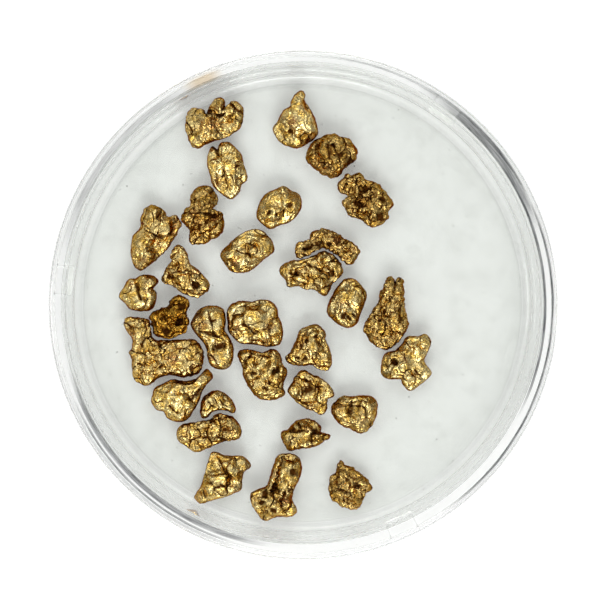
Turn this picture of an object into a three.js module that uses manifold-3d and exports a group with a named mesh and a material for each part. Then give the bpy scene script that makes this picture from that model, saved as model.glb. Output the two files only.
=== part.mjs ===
// A round clear sample dish with a loose vented lid, holding natural gold nuggets.
// Millimetres, +Z up. The origin is on the lid's axis, at the level that the dish stands on.
import * as THREE from "three";
import { mergeVertices } from "three/addons/utils/BufferGeometryUtils.js";
import Module from "manifold-3d";

const wasm = await Module();
wasm.setup();

// ---- Driving dimensions ----
const CLOSED_HEIGHT = 16; // table to the top of the lid
const LID_RADIUS = 47;
const LID_PLATE = 1.1; // thickness of the lid's flat top
const LID_WALL = 0.9;
const LID_SKIRT = 8; // depth of the skirt, from the lid's top
const LID_EDGE_ROUND = 0.7;
const LUG_DROP = 0.5; // how far the vent lugs hold the lid off the rim
const LUG_INNER_RADIUS = 43.2;
const LUG_WIDTH = 5.2;
const LUG_DIRECTIONS = [54, 174, 294]; // degrees, anticlockwise from +X

const RIM_RADIUS = 44.6; // outside of the base's wall at its rim
const FOOT_RADIUS = 43.8; // outside of the base's wall at its foot
const BASE_WALL = 0.8;
const BASE_FLOOR = 1.2;
const FLOOR_FILLET = 1.2;
const FOOT_STEP = 0.3; // the floor's middle stands clear of the table by this
const FOOT_RING_WIDTH = 2;
const FOOT_ROUND = 0.6;
const BASE_OFFSET = [-0.15, 0.4]; // the base sits a little off the lid's axis, as the slack lets it

const REST_GAP = 0.05; // clearance between pieces that rest on each other

const AROUND = 96; // straight facets in each round wall
const NUGGET_LEVELS = 6; // bands of facets from a nugget's top to its foot
const NUGGET_FULLNESS = 0.6; // below 1 a nugget's section is squarer than an ellipse
const NUGGET_LEAN = 1.3; // above 1 a nugget is widest below the middle of its height

// ---- Levels and radii that follow ----
const RIM_TOP = CLOSED_HEIGHT - LID_PLATE - LUG_DROP;
const FLOOR_TOP = FOOT_STEP + BASE_FLOOR;
const SKIRT_BOTTOM = CLOSED_HEIGHT - LID_SKIRT;
const PLATE_UNDERSIDE = CLOSED_HEIGHT - LID_PLATE;
const SKIRT_INNER_RADIUS = LID_RADIUS - LID_WALL;

// ---- Nuggets ----
// Each nugget's plan outline is a ring of points about its own middle, anticlockwise from above.
// "at" places that middle on the dish floor, and "tall" is the nugget's thickness.
const NUGGETS = [
  {
    at: [-16.9, 34.2],
    tall: 3.2,
    outline: [
      [5.6, 1.7], [5.2, 3.1], [3.6, 3.8], [2.3, 2.5], [1.9, 4.2], [0.6, 4.4], [-0.5, 2.8],
      [-1.3, 1.4], [-2.3, 2.4], [-4.3, 2.2], [-5.1, -0.7], [-4.3, -3.4], [-3, -4.7], [-0.5, -3.6],
      [2.6, -2.7], [5.1, -0.8],
    ],
  },
  {
    at: [-1.4, 33.5],
    tall: 3.4,
    outline: [
      [4.1, -1], [3.5, 1.5], [2.4, 3.5], [1.5, 4.8], [1.6, 5.9], [0.9, 6.5], [-0.1, 5.7],
      [-0.8, 4.6], [-1, 3.7], [-2.2, 2.8], [-3.2, 1], [-4.2, -0.5], [-3.3, -2.4], [-2, -3.5],
      [0.4, -4], [2.3, -3.1], [3.6, -2.2],
    ],
  },
  {
    at: [5.2, 28],
    tall: 4.2,
    outline: [
      [4.6, 0.1], [4.8, 0.9], [4, 2.1], [3.2, 3], [1.6, 3.4], [0.2, 3.8], [-1.7, 3.3], [-3.3, 2.4],
      [-4.1, 1.2], [-4.5, -0.6], [-3.8, -1.8], [-2.4, -2.8], [-1, -3.7], [0.4, -4.1], [1.6, -3.6],
      [2.5, -2.4], [3.4, -1.7], [4.4, -0.9],
    ],
  },
  {
    at: [11.7, 19.6],
    tall: 4.0,
    outline: [
      [5.1, -0.9], [4.1, 0.9], [2.8, 2.3], [2.4, 2.9], [0, 3.8], [-1.3, 4.9], [-2.5, 4.5],
      [-3.4, 4.8], [-4.2, 3.9], [-5.1, 2.8], [-4.6, 1.7], [-3.3, 0.8], [-4.2, -0.5], [-3.5, -2],
      [-3, -2.8], [-1.7, -3.3], [-0.3, -3.9], [1, -4.9], [2.7, -4.4], [4.1, -3.3], [4.1, -2.1],
    ],
  },
  {
    at: [-14.3, 25.1],
    tall: 2.6,
    outline: [
      [3.7, -0.8], [3.1, 0.9], [2.6, 2.9], [1.5, 4.2], [0.4, 5.2], [-1.2, 5.1], [-1.7, 3.9],
      [-2.7, 4.4], [-3.3, 3.6], [-3.6, 1.4], [-3, -0.8], [-2.5, -2.7], [-1, -4.2], [0.8, -5.1],
      [2.2, -4], [2.7, -2.6], [3.5, -1.9],
    ],
  },
  {
    at: [-18.6, 16.8],
    tall: 3.6,
    outline: [
      [3.2, 0.3], [1.6, 1.2], [2.4, 2.2], [2.4, 3.4], [1.6, 4.8], [0.4, 5.4], [-1.3, 5],
      [-2.3, 3.6], [-2.4, 1.8], [-3.4, 1], [-4.1, -0.8], [-3.3, -1.9], [-2.5, -2.8], [-2.6, -4.9],
      [-0.7, -5.4], [1.2, -4.6], [3, -3.6], [3.6, -2], [3.5, -0.5],
    ],
  },
  {
    at: [-4.5, 18.3],
    tall: 3.6,
    outline: [
      [4.1, 0.3], [3.8, 2.2], [2.2, 3], [0.9, 3.8], [-0.8, 3.2], [-2.2, 2.6], [-3.3, 1.3],
      [-3.9, -0.2], [-4.1, -1.8], [-3.2, -3], [-1.7, -3.9], [0, -3.3], [1.5, -2.9], [2.9, -1.9],
      [3.8, -0.6],
    ],
  },
  {
    at: [-27.7, 12.1],
    tall: 3.2,
    outline: [
      [3, -0.4], [3.9, 1.1], [4.2, 2], [4.8, 2.9], [4.2, 4.3], [3.7, 4.6], [2.2, 4.3], [1.3, 5.7],
      [-0.6, 6.5], [-1.9, 5.7], [-2.5, 4.3], [-2.7, 2.4], [-4.1, 0.7], [-4.4, -1.5], [-4.2, -4.2],
      [-2.9, -5.6], [-1.5, -4.9], [0.4, -3.3], [2, -1.8],
    ],
  },
  {
    at: [-10.3, 10.2],
    tall: 3.4,
    outline: [
      [4.7, 0.1], [4.4, 1.6], [3.4, 2.9], [2, 3.8], [0.3, 3.7], [-1.9, 2.6], [-3.8, 0.8],
      [-5.1, -0.8], [-4.3, -2.5], [-2.8, -4], [-0.2, -3.9], [1.4, -2.9], [2.8, -1.7], [4.2, -0.6],
    ],
  },
  {
    at: [4.2, 12],
    tall: 3.0,
    outline: [
      [4.9, -0.5], [3.2, 0.4], [1.9, 1.4], [-0.1, 2], [-2.2, 1.6], [-2.8, 0.7], [-3, 0],
      [-4.2, -0.2], [-5.1, -0.4], [-5.5, -1.2], [-5.3, -3], [-3.9, -2.9], [-2.4, -1.9],
      [-0.7, -1.2], [1, -1.8], [2.7, -3], [4.4, -4.3], [5.4, -3.8], [6.2, -1.9],
    ],
  },
  {
    at: [1.6, 6.2],
    tall: 3.2,
    outline: [
      [5.5, -0.6], [5.5, 1.1], [4.5, 2.6], [3.2, 3.5], [2, 3.7], [0.4, 2.8], [-2, 2.1],
      [-3.7, 1.9], [-5.4, 1.2], [-6, 0.1], [-4.9, -1.4], [-4.2, -2.8], [-2.6, -2.5], [-1.3, -3.2],
      [0.4, -3.3], [2.4, -4.4], [3.2, -3.5], [3.7, -2.3], [4.6, -1.4],
    ],
  },
  {
    at: [8, 0.4],
    tall: 3.6,
    outline: [
      [3.5, 0.1], [3.8, 1.5], [2.8, 3.2], [1.5, 4.3], [0, 4.4], [-0.9, 3.6], [-1.8, 2.6],
      [-2.5, 1.3], [-3.2, -0.3], [-3.4, -1.9], [-2.3, -3.3], [-0.9, -4.2], [0.4, -4.6],
      [1.9, -3.9], [2.6, -2.1], [3.1, -1],
    ],
  },
  {
    at: [-22.3, 5.6],
    tall: 3.0,
    outline: [
      [3.5, -0.1], [2.2, 1.1], [1, 2], [0.5, 3.6], [0, 4.9], [-1.1, 5.6], [-2.1, 4.7], [-2.4, 3.5],
      [-2.2, 2.4], [-3.3, 1.2], [-4.1, -0.6], [-3.8, -1.4], [-2.1, -2], [-0.2, -3.3], [1.4, -3.9],
      [2.5, -4.1], [4, -3.2], [4.7, -2],
    ],
  },
  {
    at: [-30.7, 2.2],
    tall: 3.2,
    outline: [
      [3.1, 0], [2.5, 0.9], [3.5, 2.2], [2.6, 3.1], [1.3, 3.4], [0.2, 3.2], [-0.7, 2.6],
      [-1.9, 2.5], [-2.8, 1.1], [-3.7, -0.7], [-2.5, -1.9], [-1.5, -3], [0.9, -3.3], [2.4, -2.8],
      [3, -1.5],
    ],
  },
  {
    at: [-24.9, -2.6],
    tall: 4.4,
    outline: [
      [3.2, -0.6], [3, 1.1], [3.5, 2.8], [3, 3.7], [1.5, 4.1], [0.2, 3.6], [-0.1, 2.5],
      [-1.9, 1.7], [-3.5, 0.7], [-3.4, -0.6], [-2.9, -2.3], [-1.9, -3.3], [0, -3.5], [1.7, -2.9],
      [2.9, -2.2],
    ],
  },
  {
    at: [15.8, -2.4],
    tall: 3.6,
    outline: [
      [3.7, -1.4], [3.2, 1.3], [2.8, 3.9], [2.9, 5.2], [2.6, 7.1], [1.9, 7.2], [1.5, 6.3],
      [0.6, 7.6], [-0.2, 6.9], [-0.6, 5.4], [-1.4, 4.4], [-1.4, 3.2], [-3, 0.8], [-4.2, -1.4],
      [-4, -2.9], [-2.6, -4.9], [-0.7, -5.8], [0.8, -5.4], [1.9, -4.4], [3, -2.9],
    ],
  },
  {
    at: [-9.2, -3.4],
    tall: 4.4,
    outline: [
      [5.1, -0.5], [4.4, 1.3], [4.2, 2.6], [3.3, 3.8], [1.7, 4.3], [-0.4, 3.9], [-2.6, 4],
      [-4.3, 3.3], [-5, 2], [-4.8, 0.2], [-4.8, -1.3], [-3.8, -2.7], [-2.4, -3.7], [0.2, -3.9],
      [2.6, -4.3], [4.6, -4], [5.2, -2.6],
    ],
  },
  {
    at: [-16.9, -6],
    tall: 3.6,
    outline: [
      [2.9, 0], [2.1, 1.2], [2.3, 3.2], [1.8, 5.2], [-0.2, 5.8], [-2, 5.4], [-3.4, 4], [-4, 2.4],
      [-3.4, 1], [-1.9, -0.8], [-1.1, -2.1], [-0.9, -3.7], [-0.2, -5.4], [1.7, -6], [3.2, -5.3],
      [3.7, -3.6], [3.7, -1.9],
    ],
  },
  {
    at: [-28.7, -9.7],
    tall: 3.4,
    outline: [
      [9.9, 0.1], [9.7, 1.5], [8.6, 2.9], [6.8, 3.1], [4.1, 3], [2.3, 2.9], [0.7, 3.2], [-0.1, 5],
      [-0.3, 6.7], [-2.8, 7.3], [-4.3, 7.2], [-4.7, 6.4], [-4.4, 5.1], [-3.3, 3.5], [-3.3, 1.6],
      [-3.8, 0.7], [-3.2, -0.3], [-3.2, -2.1], [-2.8, -4.3], [-0.6, -5.3], [0.5, -4.8],
      [1.8, -3.8], [4, -3.3], [6.4, -3.7], [8.7, -3.1], [9.7, -1.7],
    ],
  },
  {
    at: [1.3, -8.2],
    tall: 3.2,
    outline: [
      [3.6, -0.4], [2.8, 1.6], [2.8, 2.9], [1.4, 4.4], [-0.6, 4], [-1.7, 3.4], [-2.6, 1.4],
      [-3.6, -0.7], [-4.6, -1.7], [-3.6, -2.8], [-1.5, -3.1], [0.4, -3], [1.8, -3.8], [3.2, -4],
      [3.9, -2.7],
    ],
  },
  {
    at: [-7.5, -12.7],
    tall: 3.6,
    outline: [
      [4.4, 0.2], [3.6, 1.6], [3.1, 3.1], [2.1, 4.3], [0.9, 4.1], [-0.2, 3.7], [-1.7, 4.1],
      [-3.7, 4.2], [-4.6, 3.4], [-3.9, 1.5], [-3.5, -0.8], [-2.3, -3.1], [-0.6, -4.7], [1.5, -5],
      [3.8, -4.1], [3.6, -2.8], [4, -1],
    ],
  },
  {
    at: [19.2, -10.5],
    tall: 3.4,
    outline: [
      [3.4, 0.4], [4.1, 1.9], [4.7, 3.7], [3.6, 4.9], [2.2, 4.5], [0.4, 4.4], [-0.7, 3.1],
      [-1.9, 1.9], [-3.4, 1.5], [-4.3, 0.2], [-4.4, -2.4], [-2.8, -3.3], [-1, -3.3], [-0.4, -4.4],
      [0.9, -5.5], [2.6, -4.4], [4.3, -3], [4.7, -2], [3.6, -0.6],
    ],
  },
  {
    at: [-22.7, -17.4],
    tall: 4.2,
    outline: [
      [3.1, -0.5], [3.7, 1.2], [4.5, 2.5], [5.7, 3.9], [5.1, 5], [4.5, 5.2], [3.2, 3.9],
      [2.1, 3.3], [0.4, 3], [-1.7, 3.3], [-3.5, 2.6], [-5, 1.8], [-5.4, 0.7], [-5.6, -0.7],
      [-4.7, -2.1], [-3.4, -2.4], [-2.6, -3.7], [-0.9, -4.4], [0.9, -4], [1.9, -2.6],
    ],
  },
  {
    at: [1.4, -16.5],
    tall: 3.4,
    outline: [
      [4.3, -0.3], [3.5, 1.3], [2.1, 2.6], [0.4, 3.3], [-1.5, 4.2], [-2.8, 3.1], [-3.3, 1.8],
      [-4.2, 0.4], [-2.8, -1.3], [-0.9, -2.8], [0.8, -3.3], [2, -4], [2.9, -2.6], [3.1, -1.2],
    ],
  },
  {
    at: [-16.3, -18.3],
    tall: 3.0,
    outline: [
      [3.5, -1], [2.6, 0.7], [1.5, 1.7], [0, 2.2], [-1.5, 1.6], [-2.6, 0.5], [-2.9, -1.5],
      [-2.6, -2.7], [-1.8, -2.7], [-0.8, -1.7], [0.7, -1.3], [2.2, -1.5], [3.2, -1.9],
    ],
  },
  {
    at: [-17.8, -23.8],
    tall: 3.6,
    outline: [
      [6.1, 0.4], [5.3, 2], [4.4, 2.8], [3.3, 3.1], [2.2, 3.4], [1.2, 3.1], [0.4, 2.2],
      [-2.6, 1.7], [-4.9, 1.2], [-5.7, 0.1], [-5.5, -1.5], [-4.1, -2.6], [-2.4, -3.6], [-0.4, -3],
      [1.8, -2], [3.9, -1.5], [5.7, -1.1],
    ],
  },
  {
    at: [9.7, -20],
    tall: 3.4,
    outline: [
      [4, 0.2], [4.1, 1.6], [3.2, 2.7], [1.3, 3], [-0.6, 2.7], [-2.3, 2.8], [-3.7, 1.7],
      [-4.4, 0.2], [-3.4, -1.6], [-1.9, -2.8], [-0.8, -3], [0.8, -4], [2.2, -3.5], [3.3, -2.1],
    ],
  },
  {
    at: [0.1, -24.3],
    tall: 3.0,
    outline: [
      [4.9, -0.2], [3.2, 0.3], [3.1, 1.5], [1.7, 2.6], [0.2, 2.9], [-1.5, 2.3], [-2.8, 1],
      [-4.1, 0.4], [-3.9, -1.2], [-2.7, -2.9], [-0.9, -2.6], [1.9, -2.2], [3.8, -1.1],
    ],
  },
  {
    at: [-15, -32.2],
    tall: 3.0,
    outline: [
      [3.5, -0.5], [3.9, 1], [5.1, 1.9], [4.6, 3], [3.4, 3.8], [0.4, 3.9], [-1, 4.5], [-2.1, 4.4],
      [-2.8, 2.6], [-3.3, 0.8], [-3.9, -1.3], [-4.8, -3], [-5.2, -3.9], [-4.1, -4.9], [-2.4, -4.4],
      [-0.2, -3.8], [1.9, -3], [3.3, -2.3],
    ],
  },
  {
    at: [-4.9, -35],
    tall: 4.2,
    outline: [
      [2.8, -0.7], [3.3, 1], [4.2, 2.8], [4.5, 4.7], [3.9, 6.4], [2.4, 7.1], [0.5, 6.8],
      [-0.3, 5.4], [-1.1, 3.2], [-1.8, 1.1], [-3.4, 0.4], [-4.7, -0.3], [-4.9, -1.7], [-3.9, -3.5],
      [-2.8, -5], [-1.9, -5.3], [-0.2, -4.6], [2.8, -4.4], [3.6, -3.4], [2.8, -1.8],
    ],
  },
  {
    at: [8.7, -34.1],
    tall: 2.8,
    outline: [
      [4.1, -0.1], [3, 1.4], [1.5, 2.8], [-0.1, 3.7], [-1.2, 4.2], [-1.7, 4.9], [-2.2, 3.8],
      [-2.6, 2.7], [-3.7, 1.5], [-3.7, -0.5], [-3.5, -2], [-1.8, -3.2], [0.3, -4.1], [1.6, -3.7],
      [2.4, -2.3], [2.9, -1.2],
    ],
  },
];

// ---- Materials ----
const clearPlastic = (color) =>
  new THREE.MeshStandardMaterial({
    color,
    roughness: 0.08,
    metalness: 0,
    transparent: true,
    opacity: 0.3,
  });
const gold = (color) => new THREE.MeshStandardMaterial({ color, roughness: 0.35, metalness: 1 });

// ---- Geometry helpers ----
const radians = THREE.MathUtils.degToRad;

// Points of a round corner in a radius-height profile, from one angle to another.
function corner(centreRadius, centreHeight, round, from, to, steps = 4) {
  return Array.from({ length: steps + 1 }, (_, i) => {
    const angle = radians(from + ((to - from) * i) / steps);
    return [centreRadius + round * Math.cos(angle), centreHeight + round * Math.sin(angle)];
  });
}

// A profile of [radius, height] pairs turned about the Z axis.
function turned(profile) {
  const points = profile.map(([radius, height]) => new THREE.Vector2(radius, height));
  return new THREE.LatheGeometry(points, AROUND).rotateX(Math.PI / 2);
}

function toSolid(geometry) {
  const bare = geometry.clone();
  bare.deleteAttribute("normal");
  bare.deleteAttribute("uv");
  const merged = mergeVertices(bare, 1e-3);
  return new wasm.Manifold(
    new wasm.Mesh({
      numProp: 3,
      vertProperties: merged.attributes.position.array,
      triVerts: new Uint32Array(merged.index.array),
    }),
  );
}

function toGeometry(solid) {
  const { vertProperties, triVerts } = solid.getMesh();
  const geometry = new THREE.BufferGeometry();
  geometry.setAttribute("position", new THREE.BufferAttribute(vertProperties, 3));
  geometry.setIndex(new THREE.BufferAttribute(triVerts, 1));
  geometry.computeVertexNormals();
  return geometry;
}

function namedMesh(name, geometry, material) {
  const mesh = new THREE.Mesh(geometry, material);
  mesh.name = name;
  return mesh;
}

// ---- The base: a shallow cup on a low foot ring, its wall leaning out to the rim ----
function makeBase() {
  const footInner = FOOT_RADIUS - FOOT_ROUND - FOOT_RING_WIDTH;
  const floorEdge = FOOT_RADIUS - BASE_WALL;
  const profile = [
    [0, FOOT_STEP],
    [footInner - FOOT_STEP, FOOT_STEP],
    [footInner, 0],
    ...corner(FOOT_RADIUS - FOOT_ROUND, FOOT_ROUND, FOOT_ROUND, -90, 0),
    [RIM_RADIUS, RIM_TOP],
    [RIM_RADIUS - BASE_WALL, RIM_TOP],
    ...corner(floorEdge - FLOOR_FILLET, FLOOR_TOP + FLOOR_FILLET, FLOOR_FILLET, 0, -90),
    [0, FLOOR_TOP],
  ];
  const base = namedMesh("dish_base", turned(profile), clearPlastic(0xe6ebe6));
  base.position.set(...BASE_OFFSET, 0);
  return base;
}

// ---- The lid: a flat plate and a short skirt, with three vent lugs under the plate ----
function makeLug(direction) {
  const half = LUG_WIDTH / 2 / RIM_RADIUS;
  const outer = SKIRT_INNER_RADIUS + LID_WALL / 2;
  const outline = new THREE.Shape();
  outline.absarc(0, 0, outer, -half, half, false);
  outline.absarc(0, 0, LUG_INNER_RADIUS, half, -half, true);
  const depth = LUG_DROP - REST_GAP + LID_PLATE / 2;
  const lug = new THREE.ExtrudeGeometry(outline, { depth, bevelEnabled: false, curveSegments: 4 });
  return lug.translate(0, 0, RIM_TOP + REST_GAP).rotateZ(radians(direction));
}

function makeLid() {
  const profile = [
    [0, PLATE_UNDERSIDE],
    [SKIRT_INNER_RADIUS, PLATE_UNDERSIDE],
    [SKIRT_INNER_RADIUS, SKIRT_BOTTOM],
    [LID_RADIUS, SKIRT_BOTTOM],
    ...corner(LID_RADIUS - LID_EDGE_ROUND, CLOSED_HEIGHT - LID_EDGE_ROUND, LID_EDGE_ROUND, 0, 90, 3),
    [0, CLOSED_HEIGHT],
  ];
  let solid = toSolid(turned(profile));
  for (const direction of LUG_DIRECTIONS) {
    solid = solid.add(toSolid(makeLug(direction)));
  }
  return namedMesh("dish_lid", toGeometry(solid), clearPlastic(0xf2f4f2));
}

// ---- A nugget: its outline is widest a third of the way up, and closes in to a low dome and a foot ----
function makeNugget({ at, tall, outline }, index) {
  const around = outline.length;
  const geometry = new THREE.SphereGeometry(1, around, NUGGET_LEVELS);
  const position = geometry.attributes.position;
  for (let level = 0; level <= NUGGET_LEVELS; level += 1) {
    const polar = (Math.PI * level) / NUGGET_LEVELS;
    const spread = Math.sin(polar) ** NUGGET_FULLNESS;
    const height = tall * ((1 + Math.cos(polar)) / 2) ** NUGGET_LEAN;
    for (let step = 0; step <= around; step += 1) {
      const [x, y] = outline[step % around];
      position.setXYZ(level * (around + 1) + step, x * spread, y * spread, height);
    }
  }
  geometry.computeVertexNormals();
  const name = `nugget_${String(index + 1).padStart(2, "0")}`;
  const nugget = namedMesh(name, geometry, gold(index % 2 ? 0xc79a3e : 0xd6ac52));
  nugget.position.set(...at, FLOOR_TOP + REST_GAP);
  return nugget;
}

const dish = new THREE.Group();
dish.add(makeBase(), makeLid(), ...NUGGETS.map(makeNugget));

export default dish;
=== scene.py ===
import math

import bpy
import numpy as np
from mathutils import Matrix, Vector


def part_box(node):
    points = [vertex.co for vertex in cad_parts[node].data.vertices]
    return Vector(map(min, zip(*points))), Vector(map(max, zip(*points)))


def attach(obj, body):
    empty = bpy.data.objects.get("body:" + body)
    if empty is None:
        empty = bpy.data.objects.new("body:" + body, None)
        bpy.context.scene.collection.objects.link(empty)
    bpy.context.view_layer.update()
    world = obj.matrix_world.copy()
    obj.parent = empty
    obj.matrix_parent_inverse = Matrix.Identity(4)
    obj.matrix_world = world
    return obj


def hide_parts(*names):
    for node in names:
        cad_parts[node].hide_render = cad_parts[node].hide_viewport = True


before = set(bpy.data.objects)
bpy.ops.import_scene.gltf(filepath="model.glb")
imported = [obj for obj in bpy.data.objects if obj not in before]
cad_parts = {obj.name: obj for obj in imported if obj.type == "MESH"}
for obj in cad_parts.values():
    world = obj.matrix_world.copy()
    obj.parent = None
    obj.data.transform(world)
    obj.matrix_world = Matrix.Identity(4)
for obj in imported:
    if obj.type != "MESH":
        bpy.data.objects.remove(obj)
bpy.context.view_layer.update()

MM = 0.001

# ---------------------------------------------------------------- sizes taken from the frame
BASE_LOW, BASE_HIGH = (np.array(corner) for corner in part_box("dish_base"))
LID_LOW, LID_HIGH = (np.array(corner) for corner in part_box("dish_lid"))
BASE_CENTRE = (BASE_LOW[:2] + BASE_HIGH[:2]) / 2
LID_CENTRE = (LID_LOW[:2] + LID_HIGH[:2]) / 2
RIM_RADIUS = (BASE_HIGH[0] - BASE_LOW[0]) / 2
RIM_TOP = BASE_HIGH[2]
LID_RADIUS = (LID_HIGH[0] - LID_LOW[0]) / 2
LID_TOP = LID_HIGH[2]
SKIRT_BOTTOM = LID_LOW[2]

NUGGET_NAMES = sorted(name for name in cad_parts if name.startswith("nugget_"))

# ---------------------------------------------------------------- mould details, in metres
WALL = 0.8 * MM
FOOT_RADIUS = 43.8 * MM
FOOT_STEP = 0.3 * MM
FOOT_RING_WIDTH = 2.0 * MM
FOOT_ROUND = 0.6 * MM
FLOOR_TOP = 1.5 * MM
FLOOR_FILLET = 1.2 * MM
LID_PLATE = 1.1 * MM
LID_WALL = 0.9 * MM
LID_EDGE_ROUND = 0.7 * MM
EDGE_ROUND = 0.18 * MM
LUG_DROP = 0.45 * MM
LUG_INNER_RADIUS = 43.2 * MM
LUG_WIDTH = 5.2 * MM
LUG_SLOPE = 0.42 * MM
LUG_DIRECTIONS = (54, 174, 294)
LUG_STEPS = np.linspace(-2, 2, 9)
TURNING_COLUMNS = 576


# ================================================================ meshes from arrays
def mesh_object(name, points, corners, starts):
    """Puts vertices and faces into a mesh: corners lists every face's vertex numbers, and starts says
    where in that list each face begins."""
    mesh = bpy.data.meshes.new(name)
    mesh.vertices.add(len(points))
    mesh.vertices.foreach_set("co", np.asarray(points, dtype=np.float32).ravel())
    mesh.loops.add(len(corners))
    mesh.loops.foreach_set("vertex_index", np.asarray(corners, dtype=np.int32))
    mesh.polygons.add(len(starts))
    mesh.polygons.foreach_set("loop_start", np.asarray(starts, dtype=np.int32))
    mesh.polygons.foreach_set("use_smooth", np.ones(len(starts), dtype=bool))
    mesh.update(calc_edges=True)
    mesh.validate()
    piece = bpy.data.objects.new(name, mesh)
    bpy.context.collection.objects.link(piece)
    return piece


def closed_surface(name, rings, first_pole, last_pole):
    """A closed skin over rings of points, rings[row, column]: quads between neighbouring rings, and a
    fan of triangles from the first and the last ring to the pole beyond it. Each ring runs anticlockwise
    as seen from the first pole's side, so that faces point outwards."""
    rows, columns = rings.shape[:2]
    number = 1 + np.arange(rows * columns).reshape(rows, columns)
    after = np.roll(number, -1, axis=1)
    quads = np.stack([number[:-1], number[1:], after[1:], after[:-1]], axis=-1).reshape(-1, 4)
    first = np.stack([np.zeros(columns, dtype=int), number[0], after[0]], axis=-1)
    last_number = rows * columns + 1
    last = np.stack([np.full(columns, last_number), after[-1], number[-1]], axis=-1)
    points = np.vstack([[first_pole], rings.reshape(-1, 3), [last_pole]])
    corners = np.concatenate([quads.ravel(), first.ravel(), last.ravel()])
    sizes = np.concatenate([np.full(len(quads), 4), np.full(2 * columns, 3)])
    starts = np.concatenate([[0], np.cumsum(sizes)[:-1]])
    return mesh_object(name, points, corners, starts)


def store(piece, name, values):
    """Keeps one number per vertex as a named attribute for the material."""
    attribute = piece.data.attributes.new(name, "FLOAT", "POINT")
    attribute.data.foreach_set("value", np.asarray(values, dtype=np.float32).ravel())


def arc(radius, height, round_radius, start, end, steps=8):
    """Profile points of a round corner about (radius, height), from one angle in degrees to another."""
    angles = np.radians(np.linspace(start, end, steps + 1))
    return [(radius + round_radius * math.cos(a), height + round_radius * math.sin(a)) for a in angles]


def supported(points, reach=0.15 * MM):
    """Adds a point close beside each end of every long straight stretch, so that smooth shading stays in
    the corners."""
    result = [points[0]]
    for (r0, z0), (r1, z1) in zip(points, points[1:]):
        length = math.hypot(r1 - r0, z1 - z0)
        if length > 6 * reach:
            step = reach / length
            result.append((r0 + (r1 - r0) * step, z0 + (z1 - z0) * step))
            result.append((r1 - (r1 - r0) * step, z1 - (z1 - z0) * step))
        result.append((r1, z1))
    return result


# ================================================================ noise over whole arrays
def value_noise(points, wavelength, seed):
    """Smooth noise from -1 to 1: random numbers at the corners of cubes one wavelength wide, blended
    inside each cube with the curve 6t^5 - 15t^4 + 10t^3. The numbers repeat after size cubes."""
    size = 32
    rng = np.random.default_rng(seed)
    table = rng.uniform(-1, 1, (size, size, size))
    scaled = points / wavelength + rng.uniform(0, size, 3)
    cell = np.floor(scaled).astype(int)
    part = scaled - cell
    ease = part**3 * (part * (part * 6 - 15) + 10)
    total = np.zeros(points.shape[:-1])
    for offset in np.ndindex(2, 2, 2):
        index = (cell + offset) % size
        weight = np.prod(np.where(np.array(offset) == 1, ease, 1 - ease), axis=-1)
        total += weight * table[index[..., 0], index[..., 1], index[..., 2]]
    return total


def smooth_step(low, high, value):
    """0 below low and 1 above high, with the curve 3t^2 - 2t^3 between."""
    t = np.clip((value - low) / (high - low), 0, 1)
    return t * t * (3 - 2 * t)


# ================================================================ node groups and materials
# Painted shade on the lid's plate: dark arcs standing in for the dark reflections in the gap round the
# base's rim. Inner and outer radius and softness in millimetres, first and last angle and softness in
# degrees anticlockwise from +X, and strength. The first four make the right-hand band.
SHADE_ARCS = [
    (44.45, 44.9, 0.12, 8, 60, 14, 1.0),
    (44.8, 45.75, 0.14, 14, 64, 16, 0.88),
    (45.6, 46.25, 0.12, 18, 68, 18, 1.0),
    (45.8, 46.15, 0.12, 44, 96, 24, 0.5),
    (45.8, 46.25, 0.1, -58, 30, 14, 1.0),
    (44.4, 44.85, 0.1, -30, 30, 14, 1.0),
    (44.2, 45.1, 0.18, -168, -95, 16, 0.85),
    (45.45, 45.85, 0.1, -162, -102, 16, 0.8),
    (46.1, 46.4, 0.1, -165, -100, 16, 0.7),
    (44.8, 45.9, 0.2, 112, 170, 16, 0.45),
    (44.5, 44.75, 0.08, 104, 172, 16, 0.4),
]
# A painted reflection of the gold in the rim: a short tan arc, with the same columns.
GOLD_REFLECTION_ARC = (44.6, 46.4, 0.4, 108, 120, 5, 0.7)
# Whole rings: inner and outer radius and softness in millimetres, and strength. They are painted shade:
# the lid's are dark lines over the edges of the walls seen through it, and the base's are a shadow of the
# rim on its floor and a dark line along the inside of its wall.
LID_SHADE_RINGS = [(46.7, 46.92, 0.08, 0.25), (46.15, 46.35, 0.08, 0.16), (43.75, 43.95, 0.08, 0.14)]
BASE_SHADE_RINGS = [(40.9, 42.0, 0.6, 0.13), (42.9, 43.15, 0.1, 0.12)]

# Tints of the clear plastic where it is clean, smeared and specked.
BASE_TINTS = ((0.935, 0.95, 0.925), (0.875, 0.89, 0.862), (0.38, 0.385, 0.35))
LID_TINTS = ((0.965, 0.975, 0.963), (0.945, 0.955, 0.94), (0.7, 0.71, 0.68))
# Painted shade: the dark tint of the rings.
RING_SHADE_TINT = (0.12, 0.125, 0.12)
# Painted shade for the arcs, and the tan of the painted reflection of the gold.
SHADE_ARC_TINT = (0.055, 0.06, 0.066)
GOLD_REFLECTION_TINT = (0.72, 0.55, 0.33)
POLYSTYRENE_IOR = 1.58
# What light keeps when it goes straight through one skin of plastic: square on, and edge on.
SQUARE_ON_TINT = (0.97, 0.974, 0.97)
EDGE_ON_TINT = (0.5, 0.5, 0.5)

# How finely the handling marks are scattered, in repeats per metre.
DUST_SCALE = 420.0
DUST_PATCH_SCALE = 130.0
CRUMB_SCALE = 50.0
SMEAR_SCALE = 300.0
# The streaks in the painted shade arcs: repeats per metre across, and metres of length for each radian of
# turn.
STREAK_SCALE = 4200.0
STREAK_STRETCH = 2 * MM

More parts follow.
